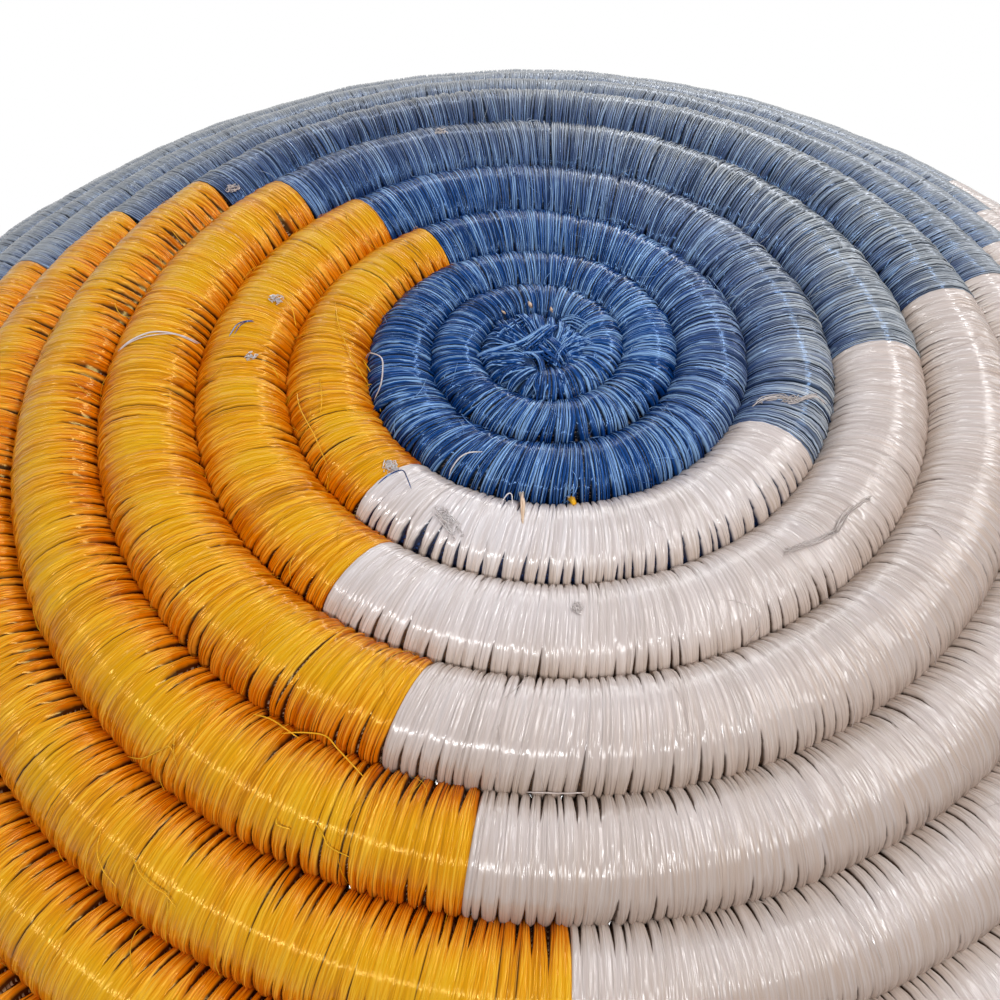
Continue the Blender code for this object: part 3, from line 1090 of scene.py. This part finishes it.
LOOSE_ENDS = (
    LooseEnds("pale_loose_fibres", Dye.WHITE, (
        LooseEnd(((3.766, 150, 0.1), (2.779, 49, 0.9), (2.797, 68, 1.4), (2.811, 68, 1.4),
            (2.824, 56, 0.8), (2.826, 30, 0.2)), 0.082),
        LooseEnd(((2.933, 25, 0.1), (2.935, 42, 0.6), (2.939, 58, 1.0), (2.945, 68, 1.0),
            (2.955, 76, 0.7)), 0.082),
        LooseEnd(((5.763, 50, 0.05), (5.761, 68, 0.12), (5.758, 90, 0.16), (5.757, 115, 0.14),
            (5.756, 145, 0.1)), 0.107, 0.9),
        LooseEnd(((5.764, 48, 0.1), (5.762, 70, 0.14), (5.760, 92, 0.2), (5.757, 118, 0.2),
            (5.755, 148, 0.15)), 0.066, 0.9),
        LooseEnd(((3.981, 118, 0.1), (3.984, 128, 0.7), (3.987, 128, 0.7), (3.989, 112, 0.1)), 0.074),
        LooseEnd(((7.004, 160, 0.2), (7.009, 156, 0.4), (7.014, 156, 0.4), (7.020, 160, 0.3)), 0.074),
    )),
    LooseEnds("orange_loose_fibres", Dye.ORANGE, (
        LooseEnd(((3.777, 140, 0.2), (3.792, 150, 0.6), (3.812, 156, 0.7), (3.836, 154, 0.3)), 0.074),
        LooseEnd(((3.808, 140, 0.1), (3.804, 150, 0.5), (3.800, 156, 0.3)), 0.057),
        LooseEnd(((3.719, 78, 0.1), (3.745, 97, 0.3), (3.766, 112, 0.35), (3.785, 126, 0.3),
            (3.806, 150, 0.2)), 0.066),
        LooseEnd(((3.803, 48, 0.1), (3.820, 50, 0.3), (3.845, 54, 0.35), (3.866, 46, 0.1)), 0.066),
        LooseEnd(((3.801, 82, 0.1), (3.822, 79, 0.3), (3.832, 71, 0.1)), 0.049),
        LooseEnd(((4.722, 118, 0.1), (4.729, 132, 0.3), (4.738, 146, 0.2)), 0.057),
        LooseEnd(((4.786, 140, 0.1), (4.782, 130, 0.4), (4.779, 118, 0.2)), 0.066),
        LooseEnd(((6.926, 144, 0.2), (6.931, 148, 0.4), (6.936, 148, 0.3), (6.941, 146, 0.2)), 0.066),
        LooseEnd(((6.936, 142, 0.1), (6.941, 152, 0.5), (6.947, 156, 0.9), (6.952, 150, 0.6),
            (6.957, 142, 0.4), (6.962, 134, 0.1)), 0.074),
        LooseEnd(((6.902, 28, 0.2), (6.908, 49, 0.4), (6.912, 68, 0.3), (6.914, 77, 0.5),
            (6.916, 72, 0.2)), 0.066),
        LooseEnd(((7.911, 92, 0.1), (7.913, 76, 0.3), (7.916, 66, 0.3), (7.920, 58, 0.1)), 0.057),
        LooseEnd(((7.920, 92, 0.1), (7.924, 84, 0.3), (7.928, 82, 0.4), (7.931, 82, 0.3),
            (7.934, 76, 0.1)), 0.074),
        LooseEnd(((7.922, 86, 0.1), (7.923, 64, 0.3), (7.922, 37, 0.2)), 0.057),
        LooseEnd(((6.946, 72, 0.1), (6.947, 68, 0.35), (6.950, 68, 0.1)), 0.082),
        LooseEnd(((6.955, 82, 0.1), (6.958, 75, 0.3), (6.960, 68, 0.3), (6.965, 64, 0.1)), 0.057),
        LooseEnd(((4.639, 79, 0.1), (4.646, 105, 0.3), (4.647, 128, 0.3), (4.642, 150, 0.1)), 0.066),
        LooseEnd(((4.0300, 150, 0.4), (4.0310, 142, 0.35), (4.0315, 130, 0.1)), 0.34, 0.7),
        LooseEnd(((4.0325, 150, 0.4), (4.0320, 142, 0.35), (4.0315, 130, 0.1)), 0.32, 0.7),
    )),
    LooseEnds("yellowed_loose_fibres", Dye.WHITE, (
        LooseEnd(((3.9945, 165, 1.8), (3.9942, 146, 0.8), (3.9946, 122, 0.35),
            (3.9965, 92, 0.0)), 0.2, 0.6),
        LooseEnd(((3.9895, 158, 1.4), (3.9930, 142, 0.6), (3.9962, 120, 0.35),
            (3.9970, 90, 0.0)), 0.2, 0.4),
        LooseEnd(((3.9950, 146, 0.3), (3.9958, 124, 0.3), (3.9968, 98, 0.0)), 0.24, 0.2),
        LooseEnd(((4.0285, 158, 1.1), (4.0295, 148, 0.6), (4.0310, 138, 0.2)), 0.13, 0.8),
        LooseEnd(((1.5405, 123, 0.1), (1.5370, 131, 0.3), (1.5335, 139, 0.1)), 0.26, -0.4),
        LooseEnd(((1.4745, 131, 0.1), (1.4700, 137, 0.3), (1.4655, 143, 0.1)), 0.2, -0.4),
        LooseEnd(((1.6220, 130, 0.1), (1.6190, 136, 0.2), (1.6160, 142, 0.1)), 0.16, -0.5),
        LooseEnd(((4.0340, 158, 1.1), (4.0330, 148, 0.6), (4.0312, 136, 0.2)), 0.13, 0.8),
    ), PEACH_FINISH, 1.5),
    LooseEnds("blue_loose_fibres", Dye.BLUE, (
        LooseEnd(((3.903, 72, 0.1), (3.906, 86, 0.5), (3.911, 97, 0.8), (3.917, 94, 0.6),
            (3.923, 88, 0.1)), 0.066, 0.0),
        LooseEnd(((4.759, 74, 0.1), (4.752, 79, 0.2), (4.749, 86, 0.2), (4.747, 96, 0.1)), 0.06, 0.8),
        LooseEnd(((4.758, 80, 0.1), (4.752, 84, 0.2), (4.749, 90, 0.2), (4.748, 98, 0.1)), 0.049, 0.6),
    )),
)


@dataclass(frozen=True)
class Bundle:
    """Strands side by side that cross the start knot, by stops on its face, in x and y."""

    stops: tuple[Pair, ...]
    width: float
    depth: float
    strands: int
    level: float = 0.25
    tip: float = 0.3


@dataclass(frozen=True)
class KnotBundles:
    """The strands that tie off the first bend: they cross the hollow in the middle of the button."""

    name: str = "start_knot_ties"
    seed: int = 620
    bundles: tuple[Bundle, ...] = (
        Bundle(((4.9, -0.2), (3.4, 1.8), (1.2, 4.6)), 2.0, 0.9, 14, 0.3),
        Bundle(((7.2, -2.0), (4.3, -1.4), (2.0, -0.4), (0.0, 1.8), (-1.9, 4.2)), 0.9, 0.5, 8, 0.1),
        Bundle(((2.3, -2.3), (0.6, -0.5), (-0.8, 1.5), (-2.2, 3.8)), 0.8, 0.5, 8, 0.15),
        Bundle(((0.3, 1.9), (-1.6, -0.2), (-2.8, -2.2), (-3.4, -3.6)), 1.8, 0.7, 14, 0.3),
        Bundle(((-1.4, 3.9), (-3.7, 4.0), (-5.6, 2.8), (-6.8, 0.4)), 1.7, 0.7, 12, 0.2),
        Bundle(((-3.6, -1.0), (-4.6, 0.3), (-6.0, -0.6), (-5.8, -2.6), (-4.4, -2.6)), 0.7, 0.5, 7, 0.15),
        Bundle(((-3.2, 1.6), (-4.4, 0.4), (-6.3, 1.2)), 0.8, 0.4, 7, 0.2),
        Bundle(((5.2, 4.0), (4.0, 2.0), (3.0, 0.2)), 1.2, 0.5, 8, 0.3),
        Bundle(((-0.9, -3.2), (-1.7, -2.9), (-2.6, -4.2)), 0.15, 0.1, 2, 0.0),
        Bundle(((1.4, -1.2), (0.0, -2.6), (-0.6, -4.8)), 0.9, 0.4, 8, 0.35),
        Bundle(((-3.6, 0.6), (-2.2, -1.2), (-1.6, -3.4)), 1.0, 0.4, 9, 0.3),
        Bundle(((0.8, 0.6), (-0.8, -1.6), (-2.6, -3.0)), 1.1, 0.4, 9, 0.4),
        Bundle(((2.6, -1.4), (0.4, -1.6), (-2.2, -0.4)), 0.8, 0.4, 7, 0.45),
    )
    tufts: int = 66
    tuft: tuple[float, float, int] = (0.62, 0.4, 5)
    tuft_start: float = 0.3
    tuft_scatter: float = 0.35
    tuft_sway: float = 0.22
    tuft_reach: Pair = (0.66, 0.99)
    tuft_level: Pair = (0.1, 0.5)
    tuft_tip: float = 0.75
    steps: int = 20
    radius: float = 0.08
    radius_spread: Pair = (0.7, 1.25)
    tint: Pair = (-0.2, 1.1)
    crossing: float = 0.12
    scatter: float = 0.08
    waist: float = 0.3
    unevenness: float = 0.05
    plunge: float = 1.4

    def build(self, material: Material) -> Object:
        """Model the strands in the blue finish, with their ends sunk between the others."""
        rng = np.random.default_rng(self.seed)
        share = np.linspace(-1.0, 1.0, self.steps)
        paths, radii = [], []
        for bundle in self.bundles + self._tufts(rng):
            middle = smooth_path(np.array(bundle.stops), self.steps)
            along = np.gradient(middle, axis=0)
            aside = np.stack((-along[:, 1], along[:, 0]), axis=-1)
            aside = aside / np.linalg.norm(along, axis=-1, keepdims=True)
            for start in np.linspace(-0.5, 0.5, bundle.strands):
                across = start + self.crossing * rng.normal() * share + self.scatter * rng.normal()
                across = across * (1.0 - self.waist * share**2)
                across = across * (1.0 - bundle.tip * np.maximum(share, 0.0) ** 3)
                bulge = np.sqrt(np.maximum(1.0 - 4.0 * across**2, 0.0))
                height = bundle.level + bundle.depth * (1.0 - bulge) + self.plunge * share**4
                place = middle + aside * (bundle.width * across)[:, None]
                paths.append(np.column_stack((place, height + self.unevenness * rng.random())))
                radii.append(self.radius * rng.uniform(*self.radius_spread))
        tints = rng.uniform(*self.tint, len(paths))
        fibres = Fibres(self.name, np.stack(paths), np.array(radii), tints, np.zeros(len(paths)))
        return fibres.build(material, "blue_fibre")

    def _tufts(self, rng: np.random.Generator) -> tuple[Bundle, ...]:
        """Lay tufts over the fan, from its hollow to its edge."""
        star = StarKnot()
        middle = np.array(star.centre)
        least, more = self.tuft_level
        tufts = []
        for number in range(self.tufts):
            part = (number + self.tuft_scatter * rng.normal()) / self.tufts % 1.0
            stops = []
            for reach in (self.tuft_start * (0.5 + rng.random()), *self.tuft_reach):
                around = math.tau * part + self.tuft_sway * rng.normal() * (1.0 - reach)
                away = float(star.edge(np.array([part]))[0]) * reach
                side = np.array((math.sin(around), math.cos(around)))
                stops.append(tuple(middle * (1.0 - reach) - away * side))
            tufts.append(Bundle(tuple(stops), *self.tuft, least + more * rng.random(), self.tuft_tip))
        return tuple(tufts)


@dataclass(frozen=True)
class Snag:
    """A tangle of frayed fibre along a path, by its stops: turn and angle round the section in degrees."""

    stops: tuple[Pair, ...]
    breadth: float
    fibres: int
    height: float = 0.3


@dataclass(frozen=True)
class Snags:
    """Places where a stitch has frayed into a small tangle."""

    name: str = "grey_snags"
    seed: int = 640
    places: tuple[Snag, ...] = (
        Snag(((3.899, 99), (3.902, 95)), 1.6, 34),
        Snag(((4.725, 110), (4.728, 107)), 1.4, 26),
        Snag(((4.774, 106), (4.776, 103)), 1.1, 22),
        Snag(((5.022, 96), (5.024, 92)), 1.0, 20),
        Snag(((5.556, 90), (5.561, 87)), 1.0, 18, 0.5),
        Snag(((6.655, 142), (6.658, 138)), 1.3, 20, 0.5),
        Snag(((3.946, 80), (3.951, 75), (3.958, 68), (3.963, 61)), 1.5, 28, 0.2),
        Snag(((5.116, 90), (5.123, 86), (5.132, 79), (5.141, 75)), 0.7, 34, 0.25),
        Snag(((5.141, 75), (5.151, 79), (5.160, 75), (5.165, 70)), 0.5, 26, 0.25),
        Snag(((4.198, 124), (4.204, 116), (4.208, 96), (4.206, 88)), 0.7, 16, 0.4),
        Snag(((4.203, 88), (4.206, 82), (4.212, 74), (4.217, 62), (4.217, 48)), 0.45, 18, 0.5),
        Snag(((4.203, 94), (4.209, 88), (4.211, 80)), 0.9, 14, 0.5),
    )
    steps: int = 12
    path_steps: int = 60
    section: float = 5.0
    reach: float = 0.3
    curl: float = 0.22
    scatter: float = 0.6
    lowest: float = 0.03
    least_reach: float = 0.01
    radius: float = 0.05
    radius_spread: Pair = (0.6, 1.5)

    def build(self, material: Material) -> Object:
        """Model the tangles in the finish of weathered fibre."""
        rng = np.random.default_rng(self.seed)
        last = self.path_steps - 1.0
        paths, turns = [], []
        for snag in self.places:
            turn, angle = np.array(snag.stops).T
            nearby = turn[0] + np.array((-0.25, 0.25))
            per_mm = np.diff(nearby)[0] / COIL.arc_length(nearby)[-1]
            flat = np.column_stack((turn / per_mm, np.radians(angle) * self.section))
            flat = smooth_path(flat, self.path_steps)
            start = rng.uniform(0.0, 1.0, (snag.fibres, 1)) * last
            sweep = last * self.reach * rng.normal(0.0, 1.0, (snag.fibres, 1))
            along = np.clip(start + sweep * np.linspace(-1.0, 1.0, self.steps), 0.0, last)
            place = np.stack([np.interp(along, np.arange(self.path_steps), way) for way in flat.T], axis=-1)
            spread = snag.breadth / 2.0
            walk = np.cumsum(rng.normal(0.0, self.curl, (snag.fibres, self.steps, 2)), axis=1)
            walk = spread * (walk + rng.normal(0.0, self.scatter, (snag.fibres, 1, 2)))
            reach = np.linalg.norm(walk, axis=-1, keepdims=True) / spread
            place = place + walk * np.tanh(reach) / np.maximum(reach, self.least_reach)
            lift = self.lowest + snag.height * rng.random((snag.fibres, 1)) ** 2 * np.ones(self.steps)
            paths.append(COIL.skin(place[..., 0] * per_mm, place[..., 1] / self.section, lift))
            turns += [turn[0]] * snag.fibres
        radii = self.radius * rng.uniform(*self.radius_spread, len(turns))
        tints = rng.uniform(0.0, 1.0, len(turns))
        fibres = Fibres(self.name, np.concatenate(paths), radii, tints, np.array(turns), 3)
        return fibres.build(material, "white_fibre")


@dataclass(frozen=True)
class Studio:
    """White studio: soft light all round, strip lamps on three sides below the bowl and a softbox above.

    The photograph looks at the underside, so the camera and the strips are lower than the floor. The floor
    shows only to a camera above it and stops no light. Each strip is given by its bearing from the front
    towards +X and its angle below the floor, in degrees, its power and its breadth.
    """

    camera_place: Point = (-1.39, -87.03, -82.50)
    camera_target: Point = (2.84, -22.65, 0.0)
    camera_roll: float = math.radians(-0.284)
    focal_length: float = 39.01
    clip_start: float = 5.0

    strips: tuple[tuple[float, float, float, float], ...] = (
        (18.0, 44.0, 2.0, 22.0),
        (-90.0, 55.0, 2.3, 60.0),
        (-150.0, 12.0, 0.9, 60.0),
        (155.0, 30.0, 0.8, 60.0),
    )
    strip_distance: float = 550.0
    strip_length: float = 620.0
    softbox_place: Point = (-200.0, 600.0, 1000.0)
    softbox_size: Pair = (1000.0, 1000.0)
    softbox_power: float = 22.0
    ambient: float = 0.08
    floor_radius: float = 4000.0
    floor_corners: int = 96
    floor_colour: str = "#f1f0ee"
    floor_roughness: float = 0.9
    floor_glow: float = 0.35
    floor_fades: Pair = (150.0, 900.0)

    def build(self) -> None:
        """Set up the camera, the lamps, the floor and the backdrop."""
        self._camera()
        for number, (bearing, below, power, breadth) in enumerate(self.strips, 1):
            bearing, below = math.radians(bearing), math.radians(below)
            level, height = self.strip_distance * math.cos(below), -self.strip_distance * math.sin(below)
            place = (level * math.sin(bearing), -level * math.cos(bearing), height)
            self._lamp(f"strip_{number}", place, (self.strip_length, breadth), power)
        self._lamp("softbox", self.softbox_place, self.softbox_size, self.softbox_power)
        self._floor()
        self._world()
        bpy.context.scene.view_settings.view_transform = "Standard"

    def _camera(self) -> None:
        """Place the camera where the photograph was taken, with the bowl's underside facing up in it."""
        data = bpy.data.cameras.new("camera")
        data.lens = self.focal_length
        data.clip_start = self.clip_start * MM
        camera = bpy.data.objects.new("camera", data)
        bpy.context.scene.collection.objects.link(camera)
        place = Vector(self.camera_place) * MM
        forward = (Vector(self.camera_target) * MM - place).normalized()
        level = forward.cross(Vector((0.0, 0.0, -1.0))).normalized()
        upright = level.cross(forward)
        up = upright * math.cos(self.camera_roll) + level * math.sin(self.camera_roll)
        rotation = Matrix((forward.cross(up), up, -forward)).transposed()
        camera.matrix_world = Matrix.Translation(place) @ rotation.to_4x4()
        bpy.context.scene.camera = camera

    def _lamp(self, name: str, place: Point, size: Pair, power: float) -> None:
        """Add a rectangular lamp that faces the bowl, with its long side level."""
        data = bpy.data.lights.new(name, "AREA")
        data.shape = "RECTANGLE"
        data.size, data.size_y = (length * MM for length in size)
        data.energy = power
        lamp = bpy.data.objects.new(name, data)
        lamp.location = Vector(place) * MM
        lamp.rotation_euler = (-Vector(place)).to_track_quat("-Z", "Y").to_euler()
        lamp.visible_camera = False
        bpy.context.scene.collection.objects.link(lamp)

    def _floor(self) -> None:
        """Add the pale floor under the bowl, which keeps its shadow and fades into the white background."""
        radius = self.floor_radius * MM
        bpy.ops.mesh.primitive_circle_add(vertices=self.floor_corners, radius=radius, fill_type="NGON")
        floor = bpy.context.active_object
        floor.name = "floor"
        material, tree = new_material("pale floor")
        colour = linear(self.floor_colour)
        inputs = {"Base Color": colour, "Roughness": self.floor_roughness, "Specular IOR Level": 0.0}
        matt = add_node(tree, "BsdfPrincipled", inputs=inputs)
        ray = add_node(tree, "LightPath").outputs
        geometry = add_node(tree, "NewGeometry").outputs
        away = add_node(tree, "VectorMath", geometry["Position"], operation="LENGTH")
        near, far = (distance * MM for distance in self.floor_fades)
        spread = (away, near, far, self.floor_glow, 1.0)
        graded = add_node(tree, "MapRange", *spread, interpolation_type="SMOOTHSTEP")
        pale = add_node(tree, "MixShader", graded, matt, add_node(tree, "Emission", WHITE, 1.0))
        sides = (ray["Is Camera Ray"], geometry["Backfacing"])
        seen = add_node(tree, "Math", *sides, operation="SUBTRACT", use_clamp=True)
        clear = add_node(tree, "BsdfTransparent")
        add_node(tree, "OutputMaterial", add_node(tree, "MixShader", seen, clear, pale))
        floor.data.materials.append(material)
        floor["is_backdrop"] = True

    def _world(self) -> None:
        """Light softly from all round, and show plain white to the camera and in gloss."""
        world = bpy.data.worlds.new("studio white")
        world.use_nodes = True
        bpy.context.scene.world = world
        tree = world.node_tree
        tree.nodes.clear()
        ray = add_node(tree, "LightPath").outputs
        straight = add_node(tree, "Math", ray["Is Camera Ray"], ray["Is Glossy Ray"], operation="MAXIMUM")
        shown = add_node(tree, "Math", straight, ray["Is Transmission Ray"], operation="MAXIMUM")
        soft = add_node(tree, "Background", inputs={"Strength": self.ambient})
        white = add_node(tree, "Background", WHITE, 1.0)
        add_node(tree, "OutputWorld", add_node(tree, "MixShader", shown, soft, white))


# Runs whose stitches stand further apart
OPENNESS = {"white_wrap_01": 2.0}
# Places of single wide gaps: 0 for the inner groove or 1 for the outer one, then their turns
WIDE_GAPS = {
    "white_wrap_01": (1, (3.940,)),
    "white_wrap_02": (1, (5.121,)),
    "orange_wrap_01": (0, (3.752, 3.826)),
    "orange_wrap_02": (0, (4.763, 4.828)),
    "orange_wrap_03": (0, (5.660, 5.731, 5.745, 5.757, 5.785, 5.842)),
    "orange_wrap_04": (0, (6.690, 6.721, 6.735, 6.765, 6.788, 6.815, 6.898)),
    "orange_wrap_05": (0, (7.712, 7.737, 7.790, 7.835, 7.858, 7.880)),
    "orange_wrap_06": (0, (8.735, 8.780, 8.840, 8.870)),
}
CENTRE_CLEAR = 0.004


def stitch_runs() -> list[StitchRun]:
    """List every run of stitches from the centre to the rim."""
    rim_start = COIL.last_turn - COIL.taper_turns
    starts = [(COIL.first_turn + CENTRE_CLEAR, Dye.BLUE, "blue_centre_stitches", "blue_centre_wrap")]
    starts += [
        (turn, dye, f"{dye.value}_stitches_{number:02d}", f"{dye.value}_wrap_{number:02d}")
        for turn, dye, number in ColourArms().changes(rim_start)
    ]
    starts.append((rim_start, starts[-1][1], "rim_finish_stitches", "rim_finish_wrap"))
    ends = [start[0] for start in starts[1:]] + [COIL.last_turn]
    return [
        StitchRun(name, node, dye, first, last, seed, OPENNESS.get(node, 1.0), *WIDE_GAPS.get(node, (0, ())))
        for seed, ((first, dye, name, node), last) in enumerate(zip(starts, ends))
    ]


def main() -> None:
    """Build every piece and the studio in order."""
    logging.basicConfig(level=logging.INFO, format="%(message)s")
    cad_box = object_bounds()
    Studio().build()
    materials = {dye: finish.material() for dye, finish in FINISHES.items()}
    over_blue = WHITE_OVER_BLUE.material()
    runs = stitch_runs()
    pieces = [run.build(over_blue if run.node == "white_wrap_01" else materials[run.dye]) for run in runs]
    pieces += [hairs.build(runs, materials[hairs.dye]) for hairs in STRAY_HAIRS]
    for ends in LOOSE_ENDS:
        pieces.append(ends.build(ends.finish.material() if ends.finish else materials[ends.dye]))
    pieces.append(KnotBundles().build(materials[Dye.BLUE]))
    pieces.append(Snags().build(SNAG_FINISH.material()))
    pieces.append(StrawBundle().build(StrawFinish().material()))
    pieces.append(StarKnot().build(materials[Dye.BLUE]))
    for piece in pieces:
        LOG.info("%s: %d faces", piece.name, len(piece.data.polygons))
    boxes = {"cad": cad_box, "visual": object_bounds()}
    {name: [list(corner) for corner in box] for name, box in boxes.items()}


if __name__ == "__main__":
    main()
